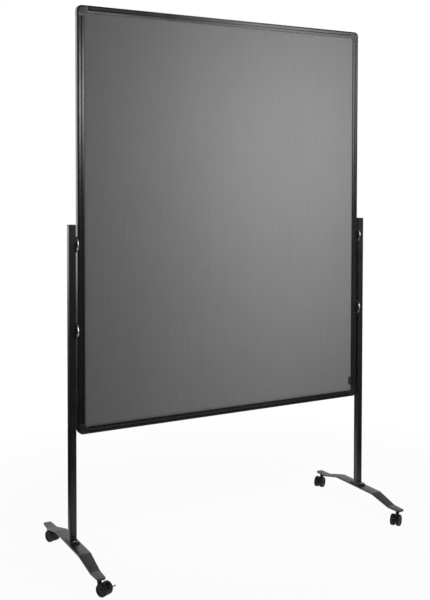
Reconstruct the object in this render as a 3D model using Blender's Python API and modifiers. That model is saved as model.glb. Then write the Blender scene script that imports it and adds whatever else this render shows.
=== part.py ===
"""Rolling pin board: a framed fabric board clamped between two posts on castor feet.

Metres, +Z up, the board's front facing -Y. The origin is on the floor, under the middle of the board.
"""

import math

import bmesh
import bpy
from mathutils import Matrix, Vector

# Driving dimensions
GAP = 0.0003  # left between pieces that touch
BOARD_WIDTH = 1.200
BOARD_HEIGHT = 1.500
BOARD_BOTTOM = 0.459
FRAME_FACE = 0.025  # width of the frame, seen from the front
FRAME_DEPTH = 0.025
CORNER_RADIUS = 0.018
CORNER_LEG = 0.038
FRAME_WALL = 0.0022
CHANNEL_FLOOR = 0.016  # how far the panel channel's floor lies inside the frame's outer face
CHANNEL_HALF = 0.008
CORE_HALF = 0.0066
FABRIC = 0.0020
FABRIC_RIM = 0.0004  # its thickness where the frame and the tab press it
FABRIC_ROLL = (0.0088, 0.0118)  # start and end of its slope, in from its edge
POST_SIZE = 0.025
POST_WALL = 0.002
POST_GAP = 0.007  # between the board's side and the post
POST_TOP = 1.197
CAP_PLATE = 0.002
STUD_HEIGHTS = {"upper": 1.128, "lower": 0.828}
BOARD_DROP = 0.300  # travel of the board from its highest place
CLAMP_WHEEL_RADIUS = 0.0275
STUD_RADIUS = 0.004
STUD_HEAD = (0.006, 0.0144)  # thickness, and the side of its square
SLIDE_NUT = (0.0081, 0.0196, 0.022)  # thickness, width, height
FOOT_THICKNESS = 0.006
FOOT_CENTRE_TOP = 0.083
FOOT_END_TOP = 0.059
FOOT_HALF_LENGTH = 0.288
FOOT_INNER_BEND = 0.1245
FOOT_OUTER_BEND = 0.2246
FOOT_CENTRE_HALF_WIDTH = 0.022
FOOT_END_HALF_WIDTH = 0.0150
FLANGE_THICKNESS = 0.006
FLANGE_SCREW_Y = 0.0235
SCREW_RADIUS = 0.003
CASTOR_Y = 0.265
CASTOR_TRAIL = 0.0215
WHEEL_RADIUS = 0.022
WHEEL_WIDTH = 0.0142
WHEEL_INNER = 0.0043  # inner face of a wheel, from the castor's middle plane
AXLE_RADIUS = 0.003
STEM_RADIUS = 0.004
STEM_HEAD_RADIUS = 0.005
COLLAR_TOP = 0.0495  # top of the castor's neck, above the floor
WEB_HALF = 0.0038
NECK_HALF = 0.0062
NECK_BOTTOM = 0.0387
LEVER_PIVOT = (0.0330, 0.0335)  # in the castor's middle plane: behind the stem, above the floor
LEVER_PIN_RADIUS = 0.0015
LEVER_HALF = 0.0024
LEVER_PAD_HALF = 0.0085
# Direction in which each castor trails, in degrees from +X towards +Y
CASTOR_YAW = {
    ("front", "left"): -63.0,
    ("rear", "left"): -71.0,
    ("front", "right"): 214.0,
    ("rear", "right"): 212.0,
}
BRAKED_END = "front"

SIDES = {"left": -1, "right": 1}
ENDS = {"front": -1, "rear": 1}
BOARD_MIDDLE = BOARD_BOTTOM + BOARD_HEIGHT / 2
POST_INNER = BOARD_WIDTH / 2 + POST_GAP
POST_X = POST_INNER + POST_SIZE / 2
FLANGE_BOTTOM = FOOT_CENTRE_TOP + GAP
FLANGE_TOP = FLANGE_BOTTOM + FLANGE_THICKNESS


# Scene, collections and materials


def clear_scene():
    for obj in list(bpy.data.objects):
        bpy.data.objects.remove(obj)


def new_collection(name):
    collection = bpy.data.collections.new(name)
    bpy.context.scene.collection.children.link(collection)
    return collection


def new_material(name, colour, roughness, metallic=0.0):
    material = bpy.data.materials.new(name)
    material.use_nodes = True
    shader = material.node_tree.nodes["Principled BSDF"]
    shader.inputs["Base Color"].default_value = (*colour, 1.0)
    shader.inputs["Roughness"].default_value = roughness
    shader.inputs["Metallic"].default_value = metallic
    return material


clear_scene()
PART = new_collection("rolling_pin_board")
CUTTERS = new_collection("cutters")
MATERIALS = {
    "fabric": new_material("grey_fabric", (0.16, 0.16, 0.165), 0.95),
    "core": new_material("soft_core", (0.35, 0.27, 0.18), 0.9),
    "frame": new_material("black_frame", (0.018, 0.018, 0.019), 0.35, 0.6),
    "plastic": new_material("black_plastic", (0.02, 0.02, 0.021), 0.5),
    "steel": new_material("black_steel", (0.022, 0.022, 0.024), 0.4, 0.3),
    "clamp": new_material("silver_clamp", (0.78, 0.78, 0.79), 0.3, 0.9),
    "zinc": new_material("bright_zinc", (0.6, 0.6, 0.62), 0.35, 1.0),
    "wheel": new_material("black_wheel", (0.015, 0.015, 0.016), 0.6),
}


# Shapes


def add_mesh(name, mesh, material, helper=False):
    obj = bpy.data.objects.new(name, mesh)
    (CUTTERS if helper else PART).objects.link(obj)
    if helper:
        obj.hide_render = True
        obj.display_type = "WIRE"
    else:
        mesh.materials.append(MATERIALS[material])
        mesh.shade_smooth()
        mesh.set_sharp_from_angle(angle=math.radians(32))
    return obj


def mesh_from(build):
    """A mesh filled by build, a function that draws into an empty bmesh."""
    shape = bmesh.new()
    build(shape)
    bmesh.ops.recalc_face_normals(shape, faces=shape.faces)
    mesh = bpy.data.meshes.new("mesh")
    shape.to_mesh(mesh)
    shape.free()
    return mesh


def box(name, low, high, material=None, helper=False):
    low, high = Vector(low), Vector(high)
    place = Matrix.Translation((low + high) / 2) @ Matrix.Diagonal((*(high - low), 1))

    def build(shape):
        bmesh.ops.create_cube(shape, size=1, matrix=place)

    return add_mesh(name, mesh_from(build), material, helper)


def cylinder(name, radius, start, end, material=None, helper=False, sides=16):
    start, end = Vector(start), Vector(end)
    turn = (end - start).to_track_quat("Z", "Y").to_matrix().to_4x4()
    place = Matrix.Translation((start + end) / 2) @ turn

    def build(shape):
        bmesh.ops.create_cone(
            shape, cap_ends=True, segments=sides, radius1=radius, radius2=radius,
            depth=(end - start).length, matrix=place,
        )

    return add_mesh(name, mesh_from(build), material, helper)


def extrusion(name, outlines, half_depth, place, material=None, helper=False):
    """A flat outline, with any holes in it, extruded both ways along the local Z of place."""
    curve = bpy.data.curves.new(name, "CURVE")
    curve.dimensions = "2D"
    curve.fill_mode = "BOTH"
    curve.extrude = half_depth
    for outline in outlines:
        spline = curve.splines.new("POLY")
        spline.points.add(len(outline) - 1)
        for point, (x, y) in zip(spline.points, outline):
            point.co = (x, y, 0, 1)
        spline.use_cyclic_u = True
    drawn = bpy.data.objects.new(name, curve)
    bpy.context.scene.collection.objects.link(drawn)
    graph = bpy.context.evaluated_depsgraph_get()
    raw = bpy.data.meshes.new_from_object(drawn.evaluated_get(graph))
    bpy.data.objects.remove(drawn)

    def build(shape):
        shape.from_mesh(raw)
        bmesh.ops.remove_doubles(shape, verts=shape.verts, dist=0.00001)
        bmesh.ops.transform(shape, matrix=place, verts=shape.verts)

    return add_mesh(name, mesh_from(build), material, helper)


def loft(name, rings, material):
    """A skin over rings of the same number of points, capped at both ends."""

    def build(shape):
        rows = [[shape.verts.new(point) for point in ring] for ring in rings]
        for row, after in zip(rows, rows[1:]):
            for i in range(len(row)):
                j = (i + 1) % len(row)
                shape.faces.new((row[i], row[j], after[j], after[i]))
        shape.faces.new(rows[0])
        shape.faces.new(rows[-1])

    return add_mesh(name, mesh_from(build), material)


def turned(name, profile, material, steps=28):
    """A profile of (radius, height) points, listed down its outer side, turned about the local Z."""
    mesh = bpy.data.meshes.new(name)
    edges = [(i, i + 1) for i in range(len(profile) - 1)]
    mesh.from_pydata([(radius, 0, height) for radius, height in profile], edges, [])
    obj = bpy.data.objects.new(name, mesh)
    PART.objects.link(obj)
    mesh.materials.append(MATERIALS[material])
    screw = obj.modifiers.new("turn", "SCREW")
    screw.steps = screw.render_steps = steps
    screw.use_merge_vertices = True
    screw.merge_threshold = 0.00005
    screw.use_smooth_shade = True
    return obj


def combine(obj, other, operation):
    modifier = obj.modifiers.new(other.name, "BOOLEAN")
    modifier.object = other
    modifier.operation = operation
    modifier.solver = "EXACT"
    return obj


def cut(obj, *cutters):
    for cutter in cutters:
        combine(obj, cutter, "DIFFERENCE")
    return obj


def soften(obj, width, segments=2, angle=40):
    modifier = obj.modifiers.new("soft_edges", "BEVEL")
    modifier.width = width
    modifier.segments = segments
    modifier.limit_method = "ANGLE"
    modifier.angle_limit = math.radians(angle)
    return obj


def axes(x, y, origin=(0, 0, 0)):
    """The matrix whose local X and Y point along x and y."""
    x, y = Vector(x), Vector(y)
    turn = Matrix((x, y, x.cross(y))).transposed().to_4x4()
    return Matrix.Translation(origin) @ turn


def arc(centre, radius, start, end, steps):
    """Points from the angle start to the angle end, in degrees; radius may be one for each axis."""
    rx, ry = radius if isinstance(radius, tuple) else (radius, radius)
    angles = [math.radians(start + (end - start) * i / steps) for i in range(steps + 1)]
    return [(centre[0] + rx * math.cos(a), centre[1] + ry * math.sin(a)) for a in angles]


def rounded_box(half_x, half_y, radius, steps=4):
    corners = [(half_x, half_y, 0), (-half_x, half_y, 90), (-half_x, -half_y, 180), (half_x, -half_y, 270)]
    points = []
    for x, y, angle in corners:
        centre = (x - math.copysign(radius, x), y - math.copysign(radius, y))
        points += arc(centre, radius, angle, angle + 90, steps)
    return points


# Board


def frame_face(with_ridge=True):
    """Front half of a frame section: x runs in from its outer face, y is the depth of its front face."""
    flat, crown, crown_drop, corner = FRAME_DEPTH / 2 - 0.0004, 0.0075, 0.0012, 0.0012
    ridge, ridge_half, ridge_height = 0.0167, 0.0015, 0.0004
    half = [(0, flat - crown_drop - 0.0016), (corner / 4, flat - crown_drop - 0.0006)]
    for i in range(5):
        x = corner + (crown - corner) * i / 4
        half.append((x, flat - crown_drop * ((crown - x) / (crown - corner)) ** 2))
    if with_ridge:
        half += [(ridge - ridge_half, flat - 0.0001), (ridge - ridge_half / 2, flat + ridge_height)]
        half += [(ridge + ridge_half / 2, flat + ridge_height), (ridge + ridge_half, flat - 0.0001)]
    half += [(ridge + 0.0021, flat - 0.0003), (FRAME_FACE - 0.0010, flat - 0.0014)]
    return half + [(FRAME_FACE, FRAME_DEPTH / 2 - 0.0026)]


def both_faces(half):
    return half + [(x, -y) for x, y in reversed(half)]


def frame_hollow(clearance=0.0):
    """Low and high corners of the hollow along a profile, in the section's own x and y."""
    wall, crown_room = FRAME_WALL + clearance, 0.0008
    deep = FRAME_DEPTH / 2 - wall - crown_room
    return (wall, -deep), (CHANNEL_FLOOR - wall, deep)


def frame_member(name, length, place):
    (low_x, low_y), (high_x, high_y) = frame_hollow()
    hollow = [(low_x, low_y), (high_x, low_y), (high_x, high_y), (low_x, high_y)]
    half = frame_face() + [(FRAME_FACE, CHANNEL_HALF), (CHANNEL_FLOOR, CHANNEL_HALF)]
    return extrusion(name, [both_faces(half), hollow], length / 2, place, "frame")


def make_frame():
    half_width = BOARD_WIDTH / 2
    rail = BOARD_WIDTH - 2 * (CORNER_LEG + GAP)
    stile = BOARD_HEIGHT - 2 * (CORNER_LEG + GAP)
    top = BOARD_BOTTOM + BOARD_HEIGHT
    frame_member("rail_top", rail, axes((0, 0, -1), (0, 1, 0), (0, 0, top)))
    frame_member("rail_bottom", rail, axes((0, 0, 1), (0, 1, 0), (0, 0, BOARD_BOTTOM)))
    for side, sign in SIDES.items():
        place = axes((-sign, 0, 0), (0, -sign, 0), (sign * half_width, 0, BOARD_MIDDLE))
        member = frame_member(f"stile_{side}", stile, place)
        for level, height in STUD_HEIGHTS.items():
            start = (sign * (half_width - 0.006), 0, height)
            end = (sign * (half_width + 0.006), 0, height)
            bore = cylinder(f"stud_bore_{level}_{side}", STUD_RADIUS + 0.0005, start, end, helper=True)
            cut(member, bore)


def corner_rings(sign_x, sign_z):
    """Sections of a corner piece from the end of one leg, round its arc, to the end of the other."""
    chamfer, proud = 0.006, 0.0002
    outer, inner = [(CORNER_LEG, 0)], [(CORNER_LEG, FRAME_FACE)]
    bend = arc((CORNER_RADIUS, CORNER_RADIUS), CORNER_RADIUS, 270, 180, 8)
    for i, point in enumerate(bend):
        t = i / (len(bend) - 1)
        outer.append(point)
        inner.append((FRAME_FACE + chamfer * (1 - t), FRAME_FACE + chamfer * t))
    outer.append((0, CORNER_LEG))
    inner.append((FRAME_FACE, CORNER_LEG))
    rings = []
    for start, end in zip(outer, inner):
        ring = []
        for x, y in both_faces(frame_face(with_ridge=False)):
            place = Vector(start).lerp(Vector(end), x / FRAME_FACE)
            in_x = sign_x * (BOARD_WIDTH / 2 - place.x)
            in_z = BOARD_MIDDLE + sign_z * (BOARD_HEIGHT / 2 - place.y)
            ring.append((in_x, y + math.copysign(proud, y), in_z))
        rings.append(ring)
    return rings


def make_corners(panel_room):
    (low_u, low_v), (high_u, high_v) = frame_hollow(clearance=0.0004)
    reach = 0.024
    for side, sign_x in SIDES.items():
        for level, sign_z in {"bottom": -1, "top": 1}.items():
            name = f"corner_{level}_{side}"
            piece = loft(name, corner_rings(sign_x, sign_z), "plastic")
            x0, z0 = sign_x * BOARD_WIDTH / 2, BOARD_MIDDLE + sign_z * BOARD_HEIGHT / 2
            ends = CORNER_LEG - 0.002, CORNER_LEG + reach
            across = [x0 - sign_x * v for v in ends], [z0 - sign_z * u for u in (low_u, high_u)]
            along = [x0 - sign_x * u for u in (low_u, high_u)], [z0 - sign_z * v for v in ends]
            for way, (xs, zs) in {"rail": across, "stile": along}.items():
                low = (min(xs), low_v, min(zs))
                high = (max(xs), high_v, max(zs))
                tongue = box(f"{name}_{way}_tongue", low, high, helper=True)
                combine(piece, tongue, "UNION")
            cut(piece, panel_room)


def make_panel():
    """Core and fabrics, and the cutter that leaves room for them in the corner pieces."""
    half_x = BOARD_WIDTH / 2 - CHANNEL_FLOOR - GAP
    low_z = BOARD_BOTTOM + CHANNEL_FLOOR + GAP
    high_z = BOARD_BOTTOM + BOARD_HEIGHT - CHANNEL_FLOOR - GAP
    box("core_panel", (-half_x, -CORE_HALF, low_z), (half_x, CORE_HALF, high_z), "core")
    near = CORE_HALF + GAP
    slope_start, slope_end = FABRIC_ROLL
    layers = [(0, near), (0, near + FABRIC_RIM), (slope_start, near + FABRIC_RIM), (slope_end, near + FABRIC)]
    for face, sign in {"front": -1, "back": 1}.items():
        rings = []
        for inset, depth in layers:
            x, low, high = half_x - inset, low_z + inset, high_z - inset
            rings.append([(-x, sign * depth, low), (x, sign * depth, low), (x, sign * depth, high),
                          (-x, sign * depth, high)])
        fabric = loft(f"fabric_{face}", rings, "fabric")
        if face == "front":
            cut(fabric, make_edge_tab(near + FABRIC_RIM))
    deep = near + FABRIC + GAP
    room_low = (-half_x - GAP, -deep, low_z - GAP)
    room_high = (half_x + GAP, deep, high_z + GAP)
    return box("panel_room", room_low, room_high, helper=True)


def make_edge_tab(pressed):
    """A small plain tab on the front fabric, against the right stile, and the cutter for its dent."""
    right = BOARD_WIDTH / 2 - FRAME_FACE - GAP
    width, height, bottom, margin = 0.013, 0.032, BOARD_BOTTOM + 0.050, 0.001
    low = (right - width, -FRAME_DEPTH / 2 + 0.0020, bottom)
    high = (right, -CHANNEL_HALF, bottom + height)
    soften(box("edge_tab", low, high, "plastic"), 0.0006)
    dent_low = (right - width - margin, -FRAME_DEPTH / 2, bottom - margin)
    dent_high = (right + FRAME_FACE - CHANNEL_FLOOR - margin, -pressed, bottom + height + margin)
    return box("tab_dent", dent_low, dent_high, helper=True)


# Clamps


def make_clamps():
    for side, sign in SIDES.items():
        for level, height in STUD_HEIGHTS.items():
            make_clamp(f"{level}_{side}", sign, height)


def make_clamp(name, sign, height):
    """Stud, slide nut and hand wheel, on one axis through stile, gap and post."""
    head_thickness, head_side = STUD_HEAD
    head_end = BOARD_WIDTH / 2 - FRAME_WALL - GAP
    nut_thickness, nut_width, nut_height = SLIDE_NUT
    nut_start = POST_INNER + POST_WALL + GAP
    nut_end = nut_start + nut_thickness

    head_start = head_end - head_thickness
    stud = block(f"clamp_stud_{name}", head_start, head_end, head_side, head_side, sign, height)
    shank_start, shank_end = (sign * (head_end - 0.003), 0, height), (sign * (nut_end + 0.002), 0, height)
    combine(stud, cylinder(f"clamp_shank_{name}", STUD_RADIUS, shank_start, shank_end, helper=True), "UNION")

    nut = block(f"slide_nut_{name}", nut_start, nut_end, nut_width, nut_height, sign, height)
    bore_start, bore_end = (sign * (nut_start - 0.002), 0, height), (sign * (nut_end + 0.002), 0, height)
    cut(nut, cylinder(f"nut_bore_{name}", STUD_RADIUS + GAP, bore_start, bore_end, helper=True))

    inner, outer = BOARD_WIDTH / 2 + GAP, POST_INNER - GAP
    half, rim, bore = (outer - inner) / 2, 0.0014, STUD_RADIUS + GAP
    profile = [(bore, half), (CLAMP_WHEEL_RADIUS - rim, half), (CLAMP_WHEEL_RADIUS, half - rim)]
    profile += [(r, -z) for r, z in reversed(profile)] + [(bore, half)]
    wheel = turned(f"clamp_wheel_{name}", profile, "clamp")
    wheel.location = (sign * (inner + outer) / 2, 0, height)
    wheel.rotation_euler = (0, math.pi / 2, 0)


def block(name, start, end, width, height, sign, middle_z):
    """A zinc block from start to end in the distance from the board's middle, on the side of sign."""
    near, far = sorted((sign * start, sign * end))
    low = (near, -width / 2, middle_z - height / 2)
    high = (far, width / 2, middle_z + height / 2)
    return box(name, low, high, "zinc")


# Stand


def foot_side_outline():
    """Side view of a foot bar: a strip of even thickness with four rounded bends, as (y, z) points."""
    centre, end = FOOT_CENTRE_TOP - FOOT_THICKNESS / 2, FOOT_END_TOP - FOOT_THICKNESS / 2
    bend_radius, steps = 0.030, 3
    path = [(FOOT_HALF_LENGTH, end), (FOOT_OUTER_BEND, end), (FOOT_INNER_BEND, centre)]
    path += [(-y, z) for y, z in reversed(path)]
    middle = [path[0]]
    for before, at, after in zip(path, path[1:], path[2:]):
        before, at, after = Vector(before), Vector(at), Vector(after)
        come, go = (at - before).normalized(), (after - at).normalized()
        turn = come.angle_signed(go)
        setback = bend_radius * math.tan(abs(turn) / 2)
        start = at - come * setback
        side = Vector((-come.y, come.x)) * (-1 if turn > 0 else 1)
        centre_point = start + side * bend_radius
        for i in range(steps + 1):
            spoke = Matrix.Rotation(-turn * i / steps, 2) @ (start - centre_point)
            middle.append(tuple(centre_point + spoke))
    middle.append(path[-1])
    upper, lower = [], []
    for i, point in enumerate(middle):
        before, after = middle[max(i - 1, 0)], middle[min(i + 1, len(middle) - 1)]
        along = (Vector(after) - Vector(before)).normalized()
        normal = Vector((along.y, -along.x)) * FOOT_THICKNESS / 2
        upper.append(tuple(Vector(point) + normal))
        lower.append(tuple(Vector(point) - normal))
    return upper + lower[::-1]


def foot_plan_outline():
    """Plan view of a foot bar: parallel in the middle, tapering to rounded ends, as (x, y) points."""
    end_radius = 0.008
    quarter = [(FOOT_CENTRE_HALF_WIDTH, FOOT_INNER_BEND)]
    centre = (FOOT_END_HALF_WIDTH - end_radius, FOOT_HALF_LENGTH - end_radius)
    quarter += arc(centre, end_radius, 3, 90, 4)
    half = quarter + [(-x, y) for x, y in reversed(quarter)]
    return half + [(-x, -y) for x, y in half]


def make_foot(side, sign):
    x = sign * POST_X
    strip = axes((0, 1, 0), (0, 0, 1), (x, 0, 0))
    half_width = FOOT_CENTRE_HALF_WIDTH + 0.004  # more than the plan, which trims it
    foot = extrusion(f"foot_bar_{side}", [foot_side_outline()], half_width, strip, "steel")
    flat = axes((1, 0, 0), (0, 1, 0), (x, 0, FOOT_CENTRE_TOP))
    plan = extrusion(f"foot_plan_{side}", [foot_plan_outline()], 0.06, flat, helper=True)
    combine(foot, plan, "INTERSECT")
    soften(foot, 0.0010, segments=1, angle=50)
    underside, deep = FOOT_END_TOP - FOOT_THICKNESS, 0.0045
    for end, way in ENDS.items():
        screw_bore(foot, x, way * FLANGE_SCREW_Y)
        low, high = (x, way * CASTOR_Y, underside - 0.002), (x, way * CASTOR_Y, underside + deep)
        cut(foot, cylinder(f"stem_socket_{end}_{side}", STEM_HEAD_RADIUS + GAP, low, high, helper=True))


def screw_bore(obj, x, y):
    low, high = (x, y, FOOT_CENTRE_TOP - 2 * FOOT_THICKNESS), (x, y, FLANGE_TOP + FLANGE_THICKNESS)
    cut(obj, cylinder(f"screw_bore_{obj.name}", SCREW_RADIUS + GAP, low, high, helper=True))


def make_flange(side, sign):
    x = sign * POST_X
    middle = (FLANGE_BOTTOM + FLANGE_TOP) / 2
    outline = rounded_box(0.0165, 0.033, 0.005)
    place = axes((1, 0, 0), (0, 1, 0), (x, 0, middle))
    flange = extrusion(f"post_flange_{side}", [outline], FLANGE_THICKNESS / 2, place, "steel")
    soften(flange, 0.0008, segments=1)
    seat, shank_end = FLANGE_TOP + GAP, FOOT_CENTRE_TOP - 0.0055
    head_radius, head_edge, head_height = 0.0050, 0.0004, 0.0028
    for end, way in ENDS.items():
        y = way * FLANGE_SCREW_Y
        screw_bore(flange, x, y)
        profile = [(0, seat + head_height), (0.0028, seat + 0.0026), (0.0042, seat + 0.0018)]
        profile += [(head_radius, seat + head_edge), (head_radius, seat), (SCREW_RADIUS, seat)]
        profile += [(SCREW_RADIUS, shank_end), (0, shank_end)]
        screw = turned(f"flange_screw_{end}_{side}", profile, "zinc", steps=16)
        screw.location = (x, y, 0)


def make_post(side, sign):
    x = sign * POST_X
    low, high = FLANGE_TOP + GAP, POST_TOP - CAP_PLATE - GAP
    outer = rounded_box(POST_SIZE / 2, POST_SIZE / 2, 0.0025)
    inner_half = POST_SIZE / 2 - POST_WALL
    inner = rounded_box(inner_half, inner_half, 0.0010, steps=2)
    place = axes((1, 0, 0), (0, 1, 0), (x, 0, (low + high) / 2))
    post = extrusion(f"post_{side}", [outer, inner], (high - low) / 2, place, "steel")

    slot_half, room = STUD_RADIUS + 0.0004, 0.008
    bottom = STUD_HEIGHTS["lower"] - BOARD_DROP - room
    top = STUD_HEIGHTS["upper"] + room
    stadium = arc((0, top - slot_half), slot_half, 0, 180, 6)
    stadium += arc((0, bottom + slot_half), slot_half, 180, 360, 6)
    through = axes((0, 1, 0), (0, 0, 1), (sign * (POST_INNER + POST_WALL / 2), 0, 0))
    cut(post, extrusion(f"post_slot_{side}", [stadium], POST_WALL, through, helper=True))

    plug_half = inner_half - GAP
    plate = rounded_box(POST_SIZE / 2, POST_SIZE / 2, 0.0025)
    plate_place = axes((1, 0, 0), (0, 1, 0), (x, 0, POST_TOP - CAP_PLATE / 2))
    cap = extrusion(f"post_cap_{side}", [plate], CAP_PLATE / 2, plate_place, "plastic")
    plug_low = (x - plug_half, -plug_half, high - 0.012)
    plug_high = (x + plug_half, plug_half, POST_TOP - CAP_PLATE / 2)
    combine(cap, box(f"post_plug_{side}", plug_low, plug_high, helper=True), "UNION")


# Castors


def web_outline():
    """Side view of a castor's housing, as (x behind the stem, height above the floor) points."""
    radius, neck, neck_top = WHEEL_RADIUS - 0.0012, NECK_HALF - 0.0004, COLLAR_TOP - 0.0033
    meets_neck = math.degrees(math.acos((neck - CASTOR_TRAIL) / radius))
    hood = arc((CASTOR_TRAIL, WHEEL_RADIUS), radius, -25, meets_neck, 14)
    front = [(neck, neck_top), (-neck, neck_top), (-neck, 0.030)]
    underside = [(0.001, 0.0125), (0.010, 0.0065), (0.028, 0.0065)]
    return hood + front + underside


def lever_outline():
    """Side view of the brake lever: a boss on the pivot and an arm that ends in a turned-up pad."""
    boss = arc(LEVER_PIVOT, 0.0030, 80, 280, 8)
    arm = [(0.0440, 0.0318), (0.0500, 0.0336), (0.0630, 0.0395), (0.0645, 0.0422), (0.0625, 0.0425)]
    return boss + arm + [(0.0500, 0.0368), (0.0440, 0.0352)]


def pad_outline():
    """Side view of the wide pad at the end of the lever's arm."""
    return [(0.0500, 0.0336), (0.0630, 0.0395), (0.0645, 0.0422), (0.0625, 0.0425), (0.0500, 0.0368)]


def make_castor(end, side):
    name = f"{end}_{side}"
    stem = Vector((SIDES[side] * POST_X, ENDS[end] * CASTOR_Y, 0))
    yaw = math.radians(CASTOR_YAW[end, side])
    turn = Matrix.Translation(stem) @ Matrix.Rotation(yaw, 4, "Z")
    side_view = turn @ axes((1, 0, 0), (0, 0, 1))  # local X trails, local Y is up, local Z is across

    def at(x, y, z):
        return turn @ Vector((x, y, z))

    def across(label, radius, x, z, reach):
        """A cylinder across the castor, as far as reach on both sides."""
        return cylinder(f"{label}_{name}", radius, at(x, -reach, z), at(x, reach, z), helper=True)

    housing = extrusion(f"castor_housing_{name}", [web_outline()], WEB_HALF, side_view, "plastic")
    collar_low, collar_high = at(0, 0, COLLAR_TOP - 0.0036), at(0, 0, COLLAR_TOP)
    collar = cylinder(f"collar_{name}", 0.008, collar_low, collar_high, helper=True, sides=24)
    combine(housing, collar, "UNION")
    neck_outline = rounded_box(NECK_HALF, NECK_HALF, 0.0020)
    neck_top = COLLAR_TOP - 0.0030
    neck_place = turn @ Matrix.Translation((0, 0, (NECK_BOTTOM + neck_top) / 2))
    neck_depth = (neck_top - NECK_BOTTOM) / 2
    combine(housing, extrusion(f"neck_{name}", [neck_outline], neck_depth, neck_place, helper=True), "UNION")
    stem_end = COLLAR_TOP - 0.009
    bore_low, bore_high = at(0, 0, stem_end - 0.0005), at(0, 0, COLLAR_TOP + 0.004)
    cut(housing, cylinder(f"stem_bore_{name}", STEM_RADIUS + GAP, bore_low, bore_high, helper=True))
    cut(housing, across("axle_bore", AXLE_RADIUS + GAP, CASTOR_TRAIL, WHEEL_RADIUS, 2 * WEB_HALF))
    if end == BRAKED_END:
        slot_x, slot_z, beyond = 0.0288, 0.0280, 0.060
        slot = [(slot_x, slot_z), (beyond, slot_z), (beyond, beyond), (slot_x, beyond)]
        cut(housing, extrusion(f"lever_slot_{name}", [slot], LEVER_HALF + GAP, side_view, helper=True))
        cut(housing, across("pin_bore", LEVER_PIN_RADIUS + GAP, *LEVER_PIVOT, 2 * WEB_HALF))
        lever = extrusion(f"brake_lever_{name}", [lever_outline()], LEVER_HALF, side_view, "plastic")
        pad = extrusion(f"lever_pad_{name}", [pad_outline()], LEVER_PAD_HALF, side_view, helper=True)
        combine(lever, pad, "UNION")
        combine(lever, across("lever_pin", LEVER_PIN_RADIUS, *LEVER_PIVOT, WEB_HALF - 0.0002), "UNION")

    underside, flange_radius = FOOT_END_TOP - FOOT_THICKNESS, 0.0075
    profile = [(0, underside + 0.0042), (STEM_HEAD_RADIUS, underside + 0.0042)]
    profile += [(STEM_HEAD_RADIUS, underside - GAP), (flange_radius, underside - GAP)]
    profile += [(flange_radius, COLLAR_TOP + GAP), (STEM_RADIUS, COLLAR_TOP + GAP)]
    profile += [(STEM_RADIUS, stem_end), (0, stem_end)]
    turned(f"castor_stem_{name}", profile, "zinc", steps=16).location = stem

    reach = WHEEL_INNER + 0.0095
    axle_ends = at(CASTOR_TRAIL, -reach, WHEEL_RADIUS), at(CASTOR_TRAIL, reach, WHEEL_RADIUS)
    cylinder(f"castor_axle_{name}", AXLE_RADIUS, *axle_ends, "zinc")
    for label, way in {"a": 1, "b": -1}.items():
        wheel = make_wheel(f"castor_wheel_{label}_{name}")
        wheel.location = at(CASTOR_TRAIL, 0, WHEEL_RADIUS)
        wheel.rotation_euler = (-way * math.pi / 2, 0, yaw)


def make_wheel(name):
    """A wheel turned about its local Z, its inner face towards the castor's middle plane."""
    inner, outer = WHEEL_INNER, WHEEL_INNER + WHEEL_WIDTH
    edge, rim, dish = 0.0020, 0.0172, 0.0012
    bore, bore_end = AXLE_RADIUS + GAP, inner + 0.010
    profile = [(0, outer - dish), (rim - 0.001, outer - dish), (rim, outer), (WHEEL_RADIUS - edge, outer)]
    profile += [(WHEEL_RADIUS, outer - edge), (WHEEL_RADIUS, inner + edge), (WHEEL_RADIUS - edge, inner)]
    profile += [(bore, inner), (bore, bore_end), (0, bore_end)]
    return turned(name, profile, "wheel")


def main():
    make_frame()
    make_corners(make_panel())
    make_clamps()
    for side, sign in SIDES.items():
        make_foot(side, sign)
        make_flange(side, sign)
        make_post(side, sign)
        for end in ENDS:
            make_castor(end, side)


main()
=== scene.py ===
"""Looks of the rolling pin board: fine surfaces, materials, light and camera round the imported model."""

import math

import bmesh
import bpy
from mathutils import Matrix, Vector, noise


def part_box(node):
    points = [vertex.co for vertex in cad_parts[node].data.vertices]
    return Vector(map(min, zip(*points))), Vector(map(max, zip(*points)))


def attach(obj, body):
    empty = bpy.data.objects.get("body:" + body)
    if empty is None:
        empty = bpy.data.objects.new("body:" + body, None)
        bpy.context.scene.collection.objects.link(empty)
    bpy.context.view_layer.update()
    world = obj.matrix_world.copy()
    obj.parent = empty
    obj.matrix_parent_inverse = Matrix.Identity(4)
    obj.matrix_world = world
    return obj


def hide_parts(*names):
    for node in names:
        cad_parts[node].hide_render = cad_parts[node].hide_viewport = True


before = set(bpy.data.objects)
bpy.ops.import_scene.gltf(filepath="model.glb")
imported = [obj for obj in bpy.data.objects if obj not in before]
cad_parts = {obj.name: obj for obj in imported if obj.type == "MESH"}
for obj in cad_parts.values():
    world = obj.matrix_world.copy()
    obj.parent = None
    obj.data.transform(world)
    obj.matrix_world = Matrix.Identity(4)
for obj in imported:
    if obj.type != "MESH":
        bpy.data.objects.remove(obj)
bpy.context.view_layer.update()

SIDES = {"left": -1, "right": 1}
LEVELS = ("upper", "lower")
ENDS = {"front": -1, "rear": 1}

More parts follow.
